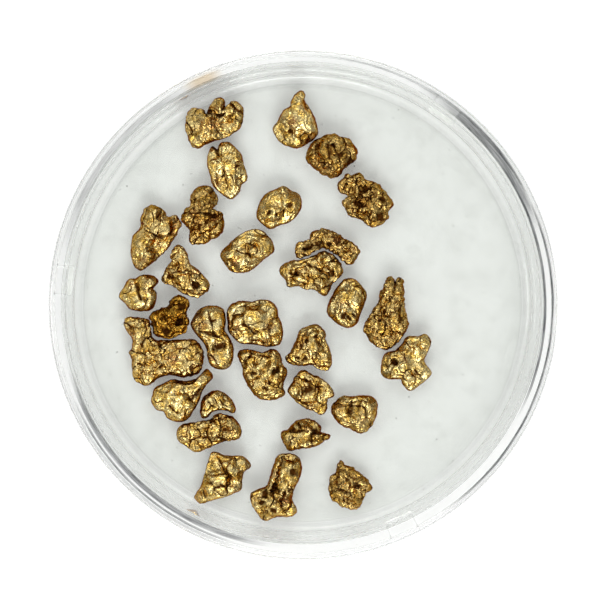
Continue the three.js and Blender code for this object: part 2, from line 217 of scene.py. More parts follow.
# Colours of natural gold. Each pair runs from its deeper to its lighter patches.
BRIGHT_GOLD = ((0.88, 0.545, 0.12), (1.0, 0.79, 0.36))
DULL_GOLD = ((0.28, 0.115, 0.01), (0.64, 0.35, 0.05))
# Painted shade: the brown that the steep flanks are darkened to.
FLANK_SHADE_BROWN = (0.19, 0.06, 0.002)
IRON_STAIN = (0.36, 0.13, 0.04)
HOLLOW_BROWN = (0.08, 0.026, 0.004)
# Painted shade in the reflections: the gold's edge tint, darkened so that its grazing reflections turn
# brown.
GRAZING_SHADE_GOLD = (0.52, 0.31, 0.11, 1.0)
GOLD_GRAIN_SCALE = 3000.0
GOLD_PATCH_SCALE = 700.0
GOLD_PIT_SCALE = 2600.0
GOLD_BUMP = 0.12 * MM

TABLE_WHITE = (0.9, 0.9, 0.9, 1.0)
# The table's painted glow: under the dish, where it lightens the shadows, and far off, where the softboxes'
# light falls away; and the distances in metres between which it changes.
TABLE_GLOW = (0.35, 0.8)
TABLE_GLOW_REACH = (0.09, 0.6)


def new_group(name, inputs, outputs):
    """An empty node group with named float or colour sockets, and its input and output nodes."""
    group = bpy.data.node_groups.new(name, "ShaderNodeTree")
    for label, kind, default in inputs:
        socket = group.interface.new_socket(name=label, in_out="INPUT", socket_type=kind)
        if default is not None:
            socket.default_value = default
    for label, kind in outputs:
        group.interface.new_socket(name=label, in_out="OUTPUT", socket_type=kind)
    return group, group.nodes.new("NodeGroupInput"), group.nodes.new("NodeGroupOutput")


def noise_texture(tree, vector, scale, detail, roughness=0.5):
    node = tree.nodes.new("ShaderNodeTexNoise")
    node.inputs["Scale"].default_value = scale
    node.inputs["Detail"].default_value = detail
    node.inputs["Roughness"].default_value = roughness
    tree.links.new(vector, node.inputs["Vector"])
    return node.outputs["Fac"]


def map_range(tree, value, low, high, to_low=0.0, to_high=1.0):
    node = tree.nodes.new("ShaderNodeMapRange")
    node.interpolation_type = "SMOOTHSTEP"
    tree.links.new(value, node.inputs["Value"])
    node.inputs["From Min"].default_value = low
    node.inputs["From Max"].default_value = high
    node.inputs["To Min"].default_value = to_low
    node.inputs["To Max"].default_value = to_high
    return node.outputs["Result"]


def math_node(tree, operation, first, second=None):
    node = tree.nodes.new("ShaderNodeMath")
    node.operation = operation
    for socket, value in zip(node.inputs, (first, second)):
        if value is None:
            continue
        if isinstance(value, (int, float)):
            socket.default_value = value
        else:
            tree.links.new(value, socket)
    return node.outputs["Value"]


def mix_colour(tree, factor, first, second):
    node = tree.nodes.new("ShaderNodeMix")
    node.data_type = "RGBA"
    for name, value in (("Factor", factor), ("A", first), ("B", second)):
        socket = next(s for s in node.inputs if s.name == name and (name == "Factor" or s.type == "RGBA"))
        if isinstance(value, (int, float)):
            socket.default_value = value
        elif isinstance(value, tuple):
            socket.default_value = (*value, 1.0)
        else:
            tree.links.new(value, socket)
    return next(s for s in node.outputs if s.type == "RGBA")


def new_material(name):
    material = bpy.data.materials.new(name)
    material.use_nodes = True
    tree = material.node_tree
    shader = tree.nodes["Principled BSDF"]
    return material, tree, shader


def object_coordinates(tree):
    return tree.nodes.new("ShaderNodeTexCoord").outputs["Object"]


def attribute_value(tree, name):
    node = tree.nodes.new("ShaderNodeAttribute")
    node.attribute_name = name
    return node.outputs["Fac"]


def plastic_haze_group():
    """Handling marks on clear plastic: soft smears of haze, dust in patches, and a few larger crumbs."""
    group, given, result = new_group(
        "PlasticHaze",
        [("Vector", "NodeSocketVector", None), ("Smear Scale", "NodeSocketFloat", SMEAR_SCALE)],
        [("Smear", "NodeSocketFloat"), ("Speck", "NodeSocketFloat")],
    )
    smear_noise = group.nodes.new("ShaderNodeTexNoise")
    smear_noise.inputs["Detail"].default_value = 5.0
    smear_noise.inputs["Roughness"].default_value = 0.6
    group.links.new(given.outputs["Vector"], smear_noise.inputs["Vector"])
    group.links.new(given.outputs["Smear Scale"], smear_noise.inputs["Scale"])
    group.links.new(map_range(group, smear_noise.outputs["Fac"], 0.42, 0.72), result.inputs["Smear"])
    cells = group.nodes.new("ShaderNodeTexVoronoi")
    cells.inputs["Scale"].default_value = DUST_SCALE
    group.links.new(given.outputs["Vector"], cells.inputs["Vector"])
    dot = map_range(group, cells.outputs["Distance"], 0.04, 0.1, 1.0, 0.0)
    patch = noise_texture(group, given.outputs["Vector"], DUST_PATCH_SCALE, 2.0)
    chosen = map_range(group, patch, 0.5, 0.62)
    crumbs = group.nodes.new("ShaderNodeTexVoronoi")
    crumbs.inputs["Scale"].default_value = CRUMB_SCALE
    group.links.new(given.outputs["Vector"], crumbs.inputs["Vector"])
    crumb = map_range(group, crumbs.outputs["Distance"], 0.008, 0.016, 1.0, 0.0)
    specks = math_node(group, "MAXIMUM", math_node(group, "MULTIPLY", dot, chosen), crumb)
    group.links.new(specks, result.inputs["Speck"])
    return group


def flat_radius(tree, vector):
    """Distance from the vertical axis, and the separate coordinates."""
    parts = tree.nodes.new("ShaderNodeSeparateXYZ")
    tree.links.new(vector, parts.inputs["Vector"])
    flat = tree.nodes.new("ShaderNodeCombineXYZ")
    tree.links.new(parts.outputs["X"], flat.inputs["X"])
    tree.links.new(parts.outputs["Y"], flat.inputs["Y"])
    length = tree.nodes.new("ShaderNodeVectorMath")
    length.operation = "LENGTH"
    tree.links.new(flat.outputs["Vector"], length.inputs[0])
    return length.outputs["Value"], parts


def ring_mask(tree, radius, inner, outer, soft):
    """1 between two radii in millimetres, with soft edges."""
    rising = map_range(tree, radius, (inner - soft) * MM, (inner + soft) * MM)
    falling = map_range(tree, radius, (outer - soft) * MM, (outer + soft) * MM, 1.0, 0.0)
    return math_node(tree, "MULTIPLY", rising, falling)


def shade_rings_group(name, rings):
    """Faint whole rings of painted shade about the vertical axis."""
    inputs = [("Vector", "NodeSocketVector", None)]
    group, given, result = new_group(name, inputs, [("Ring", "NodeSocketFloat")])
    radius, _ = flat_radius(group, given.outputs["Vector"])
    total = 0.0
    for inner, outer, soft, strength in rings:
        ring = math_node(group, "MULTIPLY", ring_mask(group, radius, inner, outer, soft), strength)
        total = math_node(group, "MAXIMUM", ring, total)
    group.links.new(total, result.inputs["Ring"])
    return group


def shade_band_group():
    """Painted shade and a painted reflection on the lid's plate over the gap round the base's rim: a dark
    streaked arc on one side, a weaker one opposite and a faint one between them, all painted shade, and a
    short tan one, a painted reflection of the gold. The skirt below the plate stays clear."""
    inputs = [("Vector", "NodeSocketVector", None)]
    outputs = [("ShadeArcs", "NodeSocketFloat"), ("Tan", "NodeSocketFloat")]
    group, given, result = new_group("ShadeBand", inputs, outputs)
    radius, parts = flat_radius(group, given.outputs["Vector"])
    turn = math_node(group, "ARCTAN2", parts.outputs["Y"], parts.outputs["X"])
    underside = LID_TOP - LID_PLATE
    on_plate = map_range(group, parts.outputs["Z"], underside - 0.6 * MM, underside - 0.3 * MM)

    def shade_arc(inner, outer, soft, start, end, ease, strength):
        rising = map_range(group, turn, math.radians(start), math.radians(start + ease))
        falling = map_range(group, turn, math.radians(end - ease), math.radians(end), 1.0, 0.0)
        part = math_node(group, "MULTIPLY", rising, falling)
        part = math_node(group, "MULTIPLY", part, ring_mask(group, radius, inner, outer, soft))
        return math_node(group, "MULTIPLY", part, strength)

    total = shade_arc(*SHADE_ARCS[0])
    for row in SHADE_ARCS[1:]:
        total = math_node(group, "MAXIMUM", total, shade_arc(*row))
    total = math_node(group, "MULTIPLY", total, on_plate)
    stretched = group.nodes.new("ShaderNodeCombineXYZ")
    group.links.new(math_node(group, "MULTIPLY", turn, STREAK_STRETCH), stretched.inputs["X"])
    group.links.new(radius, stretched.inputs["Y"])
    streaks = noise_texture(group, stretched.outputs["Vector"], STREAK_SCALE, 2.0)
    uneven = map_range(group, streaks, 0.3, 0.7, 0.62, 1.0)
    group.links.new(math_node(group, "MULTIPLY", total, uneven), result.inputs["ShadeArcs"])
    group.links.new(math_node(group, "MULTIPLY", shade_arc(*GOLD_REFLECTION_ARC), on_plate), result.inputs["Tan"])
    return group


def placed_group(tree, group):
    """Puts a node group in a material, fed with object coordinates."""
    node = tree.nodes.new("ShaderNodeGroup")
    node.node_tree = group
    tree.links.new(object_coordinates(tree), node.inputs["Vector"])
    return node.outputs


def clear_plastic(name, tints, haze, rings, shade_arcs=None):
    """Clear moulded polystyrene: sharp refraction where it is seen, plain see-through to the light that
    falls on what is inside it, with a tint that thickens in smears and specks, in rings and arcs of painted
    shade, and in a painted reflection of the gold."""
    material, tree, shader = new_material(name)
    links = tree.links
    clean, hazy, specked = tints
    marks = placed_group(tree, haze)
    tint = mix_colour(tree, marks["Smear"], clean, hazy)
    tint = mix_colour(tree, marks["Speck"], tint, specked)
    # Painted shade rings: dark lines over the walls' edges, and the rim's shadow on the base's floor.
    tint = mix_colour(tree, placed_group(tree, rings)["Ring"], tint, RING_SHADE_TINT)
    if shade_arcs is not None:
        # Painted shade arcs over the gap round the base's rim, and a painted tan reflection of the gold.
        band = placed_group(tree, shade_arcs)
        tint = mix_colour(tree, band["ShadeArcs"], tint, SHADE_ARC_TINT)
        tint = mix_colour(tree, band["Tan"], tint, GOLD_REFLECTION_TINT)
    links.new(tint, shader.inputs["Base Color"])
    shader.inputs["Roughness"].default_value = 0.0
    shader.inputs["IOR"].default_value = POLYSTYRENE_IOR
    shader.inputs["Transmission Weight"].default_value = 1.0
    path = tree.nodes.new("ShaderNodeLightPath")
    blurred = math_node(tree, "SUBTRACT", path.outputs["Is Glossy Ray"], path.outputs["Is Singular Ray"])
    lit = math_node(tree, "MAXIMUM", path.outputs["Is Shadow Ray"], path.outputs["Is Diffuse Ray"])
    through = math_node(tree, "MAXIMUM", lit, blurred)
    edge_on = tree.nodes.new("ShaderNodeLayerWeight")
    edge_on.inputs["Blend"].default_value = 0.5
    see_through = tree.nodes.new("ShaderNodeBsdfTransparent")
    grazing = map_range(tree, edge_on.outputs["Facing"], 0.4, 1.0)
    links.new(mix_colour(tree, grazing, SQUARE_ON_TINT, EDGE_ON_TINT), see_through.inputs["Color"])
    mixed = tree.nodes.new("ShaderNodeMixShader")
    links.new(through, mixed.inputs[0])
    links.new(shader.outputs["BSDF"], mixed.inputs[1])
    links.new(see_through.outputs["BSDF"], mixed.inputs[2])
    links.new(mixed.outputs["Shader"], tree.nodes["Material Output"].inputs["Surface"])
    return material


def natural_gold():
    """Natural gold: pale and burnished on its high ground, brown in its hollows, and darker brown on its
    steep flanks as painted shade, with reddish iron stain in patches and a fine grain all over. It reads
    four numbers that each nugget's mesh holds: hollow, flank_shade, stain and tone."""
    material, tree, shader = new_material("natural_gold")
    links = tree.links
    where = object_coordinates(tree)
    hollow = attribute_value(tree, "hollow")
    flank_shade = attribute_value(tree, "flank_shade")
    stain = attribute_value(tree, "stain")
    tone = attribute_value(tree, "tone")
    grain = noise_texture(tree, where, GOLD_GRAIN_SCALE, 4.0, 0.6)
    patches = map_range(tree, noise_texture(tree, where, GOLD_PATCH_SCALE, 3.0, 0.55), 0.35, 0.65)
    bright = mix_colour(tree, patches, *BRIGHT_GOLD)
    dull = mix_colour(tree, patches, *DULL_GOLD)
    body = mix_colour(tree, tone, bright, dull)
    # Painted shade: the steeper the skin, the more it turns to the flank brown.
    side = mix_colour(tree, map_range(tree, flank_shade, 0.2, 0.68), body, FLANK_SHADE_BROWN)
    speckled = math_node(tree, "MULTIPLY", stain, map_range(tree, grain, 0.35, 0.6))
    rusty = mix_colour(tree, speckled, side, IRON_STAIN)
    dirty = mix_colour(tree, map_range(tree, hollow, 0.12, 0.75), rusty, HOLLOW_BROWN)
    links.new(dirty, shader.inputs["Base Color"])
    # Painted shade: the darkened edge tint of the gold.
    shader.inputs["Specular Tint"].default_value = GRAZING_SHADE_GOLD
    links.new(map_range(tree, hollow, 0.6, 1.0, 1.0, 0.85), shader.inputs["Metallic"])
    polish = map_range(tree, grain, 0.3, 0.7, 0.16, 0.3)
    rough = math_node(tree, "ADD", polish, math_node(tree, "MULTIPLY", hollow, 0.25))
    links.new(rough, shader.inputs["Roughness"])
    pits = tree.nodes.new("ShaderNodeTexVoronoi")
    pits.inputs["Scale"].default_value = GOLD_PIT_SCALE
    links.new(where, pits.inputs["Vector"])
    cell = math_node(tree, "MULTIPLY", pits.outputs["Distance"], 0.5)
    relief = math_node(tree, "ADD", math_node(tree, "MULTIPLY", grain, 0.7), cell)
    bump = tree.nodes.new("ShaderNodeBump")
    bump.inputs["Strength"].default_value = 0.75
    bump.inputs["Distance"].default_value = GOLD_BUMP
    links.new(relief, bump.inputs["Height"])
    links.new(bump.outputs["Normal"], shader.inputs["Normal"])
    return material


def plain_floor():
    """A white table top with painted light: it glows softly under the dish, lightening the shadows there,
    and more strongly far off, where the softboxes' light falls away."""
    material, tree, shader = new_material("studio_floor")
    shader.inputs["Base Color"].default_value = TABLE_WHITE
    shader.inputs["Roughness"].default_value = 0.9
    shader.inputs["Specular IOR Level"].default_value = 0.0
    length = tree.nodes.new("ShaderNodeVectorMath")
    length.operation = "LENGTH"
    tree.links.new(object_coordinates(tree), length.inputs[0])
    glow = map_range(tree, length.outputs["Value"], *TABLE_GLOW_REACH, *TABLE_GLOW)
    tree.links.new(mix_colour(tree, glow, (0.0, 0.0, 0.0), (1.0, 1.0, 1.0)), shader.inputs["Emission Color"])
    shader.inputs["Emission Strength"].default_value = 1.0
    return material


# ================================================================ the dish
def turned(name, profile, centre, columns, height_change=None):
    """A closed turning: the profile's (radius, height) points carried round the vertical axis through
    centre, to the angles in columns. The profile runs from the axis on top to the axis below, and
    height_change(radius, height, angle) may lower single points."""
    radius, height = np.array(profile[1:-1]).T
    radius = radius[:, None] * np.ones_like(columns)
    height = height[:, None] * np.ones_like(columns)
    if height_change is not None:
        height = height + height_change(radius, height, columns[None, :])
    rings = np.stack([
        centre[0] + radius * np.cos(columns),
        centre[1] + radius * np.sin(columns),
        height,
    ], axis=-1)
    poles = [(centre[0], centre[1], profile[end][1]) for end in (0, -1)]
    return closed_surface(name, rings, *poles)


def base_piece():
    """The base's section: floor, inner fillet, wall up to the rounded rim, down the outside, foot ring, and
    underside."""
    foot_inner = FOOT_RADIUS - FOOT_ROUND - FOOT_RING_WIDTH
    floor_edge = FOOT_RADIUS - WALL
    profile = supported([
        (0, FLOOR_TOP),
        (floor_edge - FLOOR_FILLET - 0.5 * MM, FLOOR_TOP),
        *arc(floor_edge - FLOOR_FILLET, FLOOR_TOP + FLOOR_FILLET, FLOOR_FILLET, -90, 0, 10),
        *arc(RIM_RADIUS - WALL + EDGE_ROUND, RIM_TOP - EDGE_ROUND, EDGE_ROUND, 180, 90, 6),
        *arc(RIM_RADIUS - EDGE_ROUND, RIM_TOP - EDGE_ROUND, EDGE_ROUND, 90, 0, 6),
        *arc(FOOT_RADIUS - FOOT_ROUND, FOOT_ROUND, FOOT_ROUND, 0, -90, 8),
        (foot_inner, 0),
        (foot_inner - FOOT_STEP, FOOT_STEP),
        (0, FOOT_STEP),
    ])
    columns = np.linspace(0, 2 * math.pi, TURNING_COLUMNS, endpoint=False)
    return turned("clear_base", profile, BASE_CENTRE, columns)


def lug_columns():
    """Angles round the lid: even steps, with finer ones at both sides of each vent lug."""
    even = np.linspace(0, 2 * math.pi, TURNING_COLUMNS, endpoint=False)
    half = LUG_WIDTH / 2 / RIM_RADIUS
    slope = LUG_SLOPE / RIM_RADIUS
    fine = [
        math.radians(direction) + side * (half + slope * step)
        for direction in LUG_DIRECTIONS
        for side in (-1, 1)
        for step in LUG_STEPS
    ]
    return np.unique(np.round(np.mod(np.concatenate([even, fine]), 2 * math.pi), 6))


def lug_drop(radius, height, angle):
    """How far the lid's underside drops at a vent lug: full depth inside the lug's width and beyond its
    inner radius, easing to nothing over its narrow sloping sides."""
    underside = np.abs(height - (LID_TOP - LID_PLATE)) < 1e-6
    depth = np.zeros_like(radius)
    for direction in LUG_DIRECTIONS:
        turn = (angle - math.radians(direction) + math.pi) % (2 * math.pi) - math.pi
        beside = LUG_WIDTH / 2 - np.abs(turn) * RIM_RADIUS
        across = smooth_step(-LUG_SLOPE, LUG_SLOPE, beside)
        along = smooth_step(LUG_INNER_RADIUS - LUG_SLOPE, LUG_INNER_RADIUS + LUG_SLOPE, radius)
        depth = np.maximum(depth, across * along)
    return -LUG_DROP * depth * underside


def lid_piece():
    """The lid's section: flat top, round edge, skirt, and the underside with its vent lugs."""
    skirt_inner = LID_RADIUS - LID_WALL
    underside = LID_TOP - LID_PLATE
    lug_radii = LUG_INNER_RADIUS - LUG_SLOPE * LUG_STEPS
    profile = supported([
        (0, LID_TOP),
        *arc(LID_RADIUS - LID_EDGE_ROUND, LID_TOP - LID_EDGE_ROUND, LID_EDGE_ROUND, 90, 0, 10),
        *arc(LID_RADIUS - EDGE_ROUND, SKIRT_BOTTOM + EDGE_ROUND, EDGE_ROUND, 0, -90, 6),
        *arc(skirt_inner + EDGE_ROUND, SKIRT_BOTTOM + EDGE_ROUND, EDGE_ROUND, 270, 180, 6),
        (skirt_inner, underside - LUG_DROP - 0.3 * MM),
        *[(skirt_inner - back, underside) for back in (0.0, 0.2 * MM, 0.6 * MM)],
        *[(radius, underside) for radius in lug_radii],
        (0, underside),
    ])
    return turned("clear_lid", profile, LID_CENTRE, lug_columns(), lug_drop)


# ================================================================ the nuggets
SKIN_STEP = 0.15 * MM
CROWN_STEPS = 1.35
FOOT_STEPS = 0.45

# The waves of noise in a nugget's skin: their length, and what is added to the nugget's own seed for each.
WARP = (1.5 * MM, (2, 3, 4))
RIPPLE = (0.6 * MM, (10, 11, 12))
SWELL = (3.6 * MM, 1)
FOLDS = (1.9 * MM, 5)
LUMPS = (1.0 * MM, 6)
GRAINS = (0.6 * MM, 7)
FINE_GRAIN = (0.34 * MM, 8)
STAIN_PATCHES = (2.4 * MM, 9)
RIDGES = (2.7 * MM, 13)
CREASE_FADING = (1.4 * MM, 15)

# How far the warp and the ripple shift the other waves, and how far the warp shifts the marks.
WARP_SHIFT = 0.45 * MM
RIPPLE_SHIFT = 0.16 * MM
MARK_SHIFT = 0.4 * MM
# The most that relief adds to a crown, and the least and most that the skin moves along its normal.
CROWN_GAIN = 0.3 * MM
SKIN_SINK = 0.5 * MM
SKIN_GAIN = 0.4 * MM
RIM_SWELL = 0.12 * MM
RIM_WIDTH = 0.12
CREASE_WIDTH = 0.15 * MM
DEEPEST_PIT = 0.5 * MM

# How each nugget is worn: how flat its crown is, the depth of its folds, of its lumps and of its fine
# grain, and how dull its gold is.
WEAR = {
    "burnished": (3.6, 1.0, 0.4, 0.36, 0.0),
    "even": (2.8, 1.3, 0.75, 0.65, 0.25),
    "rough": (2.4, 0.8, 1.1, 1.5, 0.5),
    "dark": (2.4, 1.3, 1.05, 0.9, 0.6),
    "tarnished": (2.2, 1.1, 1.5, 1.3, 1.0),
}

# Every nugget's wear and its own marks, in millimetres from its crown: a pit, a dome or a stain has a
# middle and a radius, and a groove runs from one point to another with a width.
NUGGETS = {
    1: ("even", [("pit", -0.9, 1.7, 0.7), ("pit", 1.5, 1.3, 0.7), ("stain", 0.2, -0.2, 1.2)]),
    2: ("burnished", [("pit", -1.1, -0.7, 0.45), ("stain", -0.6, 0.9, 0.9)]),
    3: ("dark", [
        ("dome", -1.9, 0.6, 1.2), ("groove", -0.4, 1.9, -0.3, -0.6, 0.5), ("pit", 0.6, 1.9, 0.5),
        ("pit", 1.9, 0.2, 0.6), ("pit", 3.4, -1.1, 0.8),
    ]),
    4: ("dark", [
        ("pit", -0.2, 2.2, 0.7), ("pit", -1.5, -0.6, 0.8), ("pit", 2.6, -3.2, 0.8),
        ("pit", 3.2, 0.0, 0.6),
    ]),
    5: ("burnished", [
        ("groove", -2.6, 4.2, -1.6, 3.0, 0.5), ("pit", -0.7, -1.1, 0.3), ("pit", 2.1, 0.6, 0.3),
        ("stain", -1.7, -2.2, 1.0),
    ]),
    6: ("dark", [
        ("pit", -1.5, 2.6, 0.4), ("pit", 0.2, 1.9, 0.35), ("groove", -2.4, 0.5, 2.2, 0.2, 0.35),
        ("stain", -1.7, 0.4, 0.9), ("stain", 2.2, -0.4, 0.8),
    ]),
    7: ("burnished", [("pit", -0.6, -1.3, 0.4), ("pit", 1.9, 0.2, 0.7), ("pit", -2.1, -1.3, 0.45)]),
    8: ("even", [
        ("stain", -2.3, -3.7, 0.6), ("stain", 3.2, 1.5, 0.8), ("groove", -1.6, 1.8, 1.2, 0.4, 0.45),
    ]),
    9: ("burnished", [
        ("groove", 0.5, 1.3, 1.3, 0.7, 0.4), ("groove", -1.9, 0.0, 0.4, -1.0, 0.3),
        ("stain", -2.2, -2.0, 1.1),
    ]),
    10: ("rough", [
        ("groove", -3.9, -1.5, -1.4, -0.6, 0.9), ("stain", 1.9, 0.0, 1.0), ("pit", 0.4, -0.6, 0.5),
    ]),
    11: ("even", [
        ("groove", -4.3, -0.2, -2.2, -0.7, 0.4), ("pit", 3.7, -0.4, 0.6),
        ("groove", -0.6, 1.2, 1.6, 0.2, 0.4),
    ]),
    12: ("burnished", [("pit", -0.2, -2.5, 0.5), ("pit", 0.7, -3.0, 0.5), ("pit", 1.6, -2.4, 0.4)]),
    13: ("even", [
        ("pit", 2.1, -2.2, 0.8), ("groove", -3.0, -0.2, -1.4, -0.6, 0.4), ("stain", 2.4, 0.6, 0.9),
    ]),
    14: ("burnished", [("groove", -0.4, 1.6, 0.3, -1.4, 0.5), ("stain", -1.5, 1.7, 0.7)]),
    15: ("tarnished", [
        ("pit", 2.1, 2.2, 0.8), ("pit", 1.7, -0.6, 0.7), ("pit", -0.9, -2.2, 0.9),
        ("pit", -3.0, -1.1, 0.7),
    ]),
    16: ("rough", [("dome", 0.9, 1.0, 0.9), ("dome", 1.2, -1.2, 0.8)]),
    17: ("burnished", [
        ("dome", -1.0, 0.9, 1.5), ("dome", 1.7, -1.0, 1.3), ("groove", -2.0, -0.2, 0.2, -2.0, 0.3),
        ("stain", 3.0, -0.6, 0.9), ("stain", -3.0, -0.6, 0.8),
    ]),
    18: ("burnished", [
        ("groove", -0.1, 2.6, 0.7, 2.9, 0.42), ("stain", -1.9, 2.5, 1.1),
        ("groove", -2.2, 0.9, 1.2, 0.2, 0.7), ("groove", 0.4, -1.9, 1.7, -1.5, 0.7),
        ("groove", -0.4, -3.4, 0.5, -4.2, 0.5), ("stain", 0.0, -3.8, 1.0),
    ]),
    19: ("even", [
        ("pit", 1.7, -2.2, 0.35), ("groove", -3.6, 1.4, -0.8, 0.2, 0.3), ("stain", -4.2, 3.8, 1.6),
        ("stain", 4.6, -0.4, 1.2),
    ]),
    20: ("even", [
        ("pit", -0.4, 1.5, 0.5), ("pit", 1.1, 2.1, 0.5), ("pit", -0.9, -2.0, 0.5),
        ("pit", 1.1, -0.6, 0.4), ("pit", -2.2, -1.4, 0.35),
    ]),
    21: ("even", [("pit", 2.2, 0.2, 0.8), ("pit", 0.4, -3.0, 0.5), ("pit", -1.6, 0.2, 0.6)]),
    22: ("burnished", [("pit", -2.4, -0.2, 0.7), ("groove", 1.8, -1.6, 3.0, -2.8, 0.45)]),
    23: ("burnished", [
        ("dome", -1.1, 0.7, 1.7), ("groove", 1.5, -0.4, 3.4, 1.5, 0.6),
        ("groove", -2.6, -1.4, -1.0, -2.6, 0.4),
    ]),
    24: ("even", [("pit", -0.4, 0.6, 1.1)]),
    25: ("burnished", [
        ("groove", -1.6, 0.4, -0.4, -1.0, 0.3), ("groove", -0.2, 0.8, 0.6, -0.8, 0.3),
        ("groove", 1.0, 0.8, 1.6, -0.4, 0.3),
    ]),
    26: ("even", [
        ("dome", 2.2, 1.9, 1.2), ("pit", 0.7, 1.9, 0.4), ("pit", 3.1, 0.7, 0.4),
        ("groove", 1.8, -0.8, 3.2, -1.4, 0.45),
    ]),
    27: ("even", [
        ("pit", -0.9, -0.2, 0.6), ("groove", -0.8, 0.4, -0.6, 2.0, 0.4), ("dome", 0.9, 0.4, 1.1),
    ]),
    28: ("even", [
        ("pit", 2.0, 0.6, 0.8), ("dome", -0.4, -1.1, 1.0), ("groove", -2.6, 0.8, 0.6, 0.6, 0.4),
    ]),
    29: ("burnished", [("pit", 0.7, 0.0, 0.45), ("groove", -1.6, -2.0, 0.4, -1.4, 0.35)]),
    30: ("even", [
        ("pit", 2.8, 3.6, 0.8), ("pit", -0.6, 0.4, 0.7), ("pit", -2.4, -0.4, 0.8),
        ("pit", -2.8, -2.1, 0.6), ("pit", -0.6, -3.4, 0.6), ("stain", 1.5, -1.3, 1.0),
    ]),
    31: ("rough", [
        ("pit", -0.2, 1.5, 0.5), ("pit", 1.2, 0.4, 0.6), ("groove", -1.8, -0.4, 0.4, -1.4, 0.4),
    ]),
}


def ring_of(node):
    """A nugget's widest ring of corners in turn, its crown, its foot level and its widest level, from
    the CAD body."""
    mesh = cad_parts[node].data
    points = np.empty(3 * len(mesh.vertices), dtype=np.float32)
    mesh.vertices.foreach_get("co", points)
    points = np.unique(points.reshape(-1, 3).astype(float).round(7), axis=0)
    crown = points[points[:, 2].argmax()]
    foot = points[:, 2].min()
    reach = np.linalg.norm(points[:, :2] - crown[:2], axis=1)
    levels = np.unique(points[:, 2].round(5))
    same_level = 2e-5
    widest = max(levels, key=lambda level: reach[np.abs(points[:, 2] - level) < same_level].mean())
    ring = points[np.abs(points[:, 2] - widest) < same_level]
    turn = np.arctan2(ring[:, 1] - crown[1], ring[:, 0] - crown[0])
    return ring[np.argsort(turn), :2], crown, foot, widest


def smooth_ring(corners):
    """A closed Catmull-Rom curve through the corners, sampled at even steps of its length."""
    steps = 12
    t = np.linspace(0, 1, steps, endpoint=False)[None, :, None]
    a, b, c, d = (np.roll(corners, shift, axis=0)[:, None, :] for shift in (1, 0, -1, -2))
    square = (2 * a - 5 * b + 4 * c - d) * t**2
    cube = (3 * b - a - 3 * c + d) * t**3
    curve = 0.5 * (2 * b + (c - a) * t + square + cube)
    curve = curve.reshape(-1, 2)
    closed = np.vstack([curve, curve[:1]])
    length = np.concatenate([[0], np.cumsum(np.linalg.norm(np.diff(closed, axis=0), axis=1))])
    even = np.linspace(0, length[-1], round(length[-1] / SKIN_STEP), endpoint=False)
    return np.stack([np.interp(even, length, closed[:, axis]) for axis in (0, 1)], axis=1)


def grid_normals(rings):
    """Outward directions over rings of points, from the cross product of the steps along and across the
    rings."""
    along = np.roll(rings, -1, axis=1) - np.roll(rings, 1, axis=1)
    across = np.gradient(rings, axis=0)
    normal = np.cross(across, along)
    return normal / np.maximum(np.linalg.norm(normal, axis=-1, keepdims=True), 1e-12)


def line_distance(values, rings):
    """Distance in metres to the line where a field over the rings is zero: its absolute value over its
    slope."""
    along = np.roll(values, -1, axis=1) - np.roll(values, 1, axis=1)
    across = np.gradient(values, axis=0)
    along_step = np.linalg.norm(np.roll(rings, -1, axis=1) - np.roll(rings, 1, axis=1), axis=-1)
    across_step = np.linalg.norm(np.gradient(rings, axis=0), axis=-1)
    shortest = 1e-6
    slope = np.hypot(along / np.maximum(along_step, shortest), across / np.maximum(across_step, shortest))
    return np.abs(values) / np.maximum(slope, 1.0)


def mark_fields(plan, marks):
    """Height change and two masks from a nugget's own marks, by the distance d in mark sizes. A pit
    sinks by exp(-d^2.6) and has a slightly raised lip, a dome rises by exp(-d^2), a groove sinks by
    exp(-(1.35 d)^2) across its line, and a stain only colours, by exp(-d^3)."""
    height = np.zeros(plan.shape[:-1])
    hollow = np.zeros_like(height)
    stain = np.zeros_like(height)
    for kind, *numbers in marks:
        size = numbers[-1] * MM
        start = np.array(numbers[:2]) * MM
        offset = plan - start
        if kind == "groove":
            run = np.array(numbers[2:4]) * MM - start
            part = np.clip((offset @ run) / (run @ run), 0, 1)
            away = np.linalg.norm(offset - part[..., None] * run, axis=-1) / size
            bowl = np.exp(-(away * 1.35) ** 2)
            height -= 0.6 * size * bowl
            hollow = np.maximum(hollow, 0.95 * bowl)
            continue
        away = np.linalg.norm(offset, axis=-1) / size
        if kind == "pit":
            bowl = np.exp(-away**2.6)
            lip = np.exp(-((away - 1.35) * 3) ** 2)
            height += 0.14 * size * lip - min(0.8 * size, DEEPEST_PIT) * bowl
            hollow = np.maximum(hollow, 1.1 * bowl)
        elif kind == "dome":
            height += 0.45 * size * np.exp(-away**2)
        else:
            stain = np.maximum(stain, np.exp(-away**3))
    return height, hollow, stain


def domed_rings(corners, crown, foot, widest, fullness):
    """Rings of points from the crown to the foot, as z = level + rise * sqrt(1 - s^n) with s from 0 on
    the axis to 1 at the outline. With them come s for each ring, and the dome's height above the outline
    from 0 to 1."""
    outline = smooth_ring(corners) - crown[:2]
    reach = np.linalg.norm(outline, axis=1).mean()
    crown_rows = round(CROWN_STEPS * reach / SKIN_STEP)
    foot_rows = round(FOOT_STEPS * reach / SKIN_STEP)
    upper = np.sin(np.linspace(0, math.pi / 2, crown_rows + 1)[1:])
    lower = np.sin(np.linspace(math.pi / 2, 0, foot_rows + 1)[1:-1])
    spread = np.concatenate([upper, lower])
    dome = np.sqrt(1 - np.clip(spread, 0, 1) ** fullness)
    above = np.arange(len(spread)) < crown_rows
    rise = np.where(above, (crown[2] - widest) * dome, (foot - widest) * dome)
    rings = np.empty((len(spread), len(outline), 3))
    rings[..., :2] = crown[:2] + spread[:, None, None] * outline[None]
    rings[..., 2] = widest + rise[:, None]
    return rings, spread, above * dome


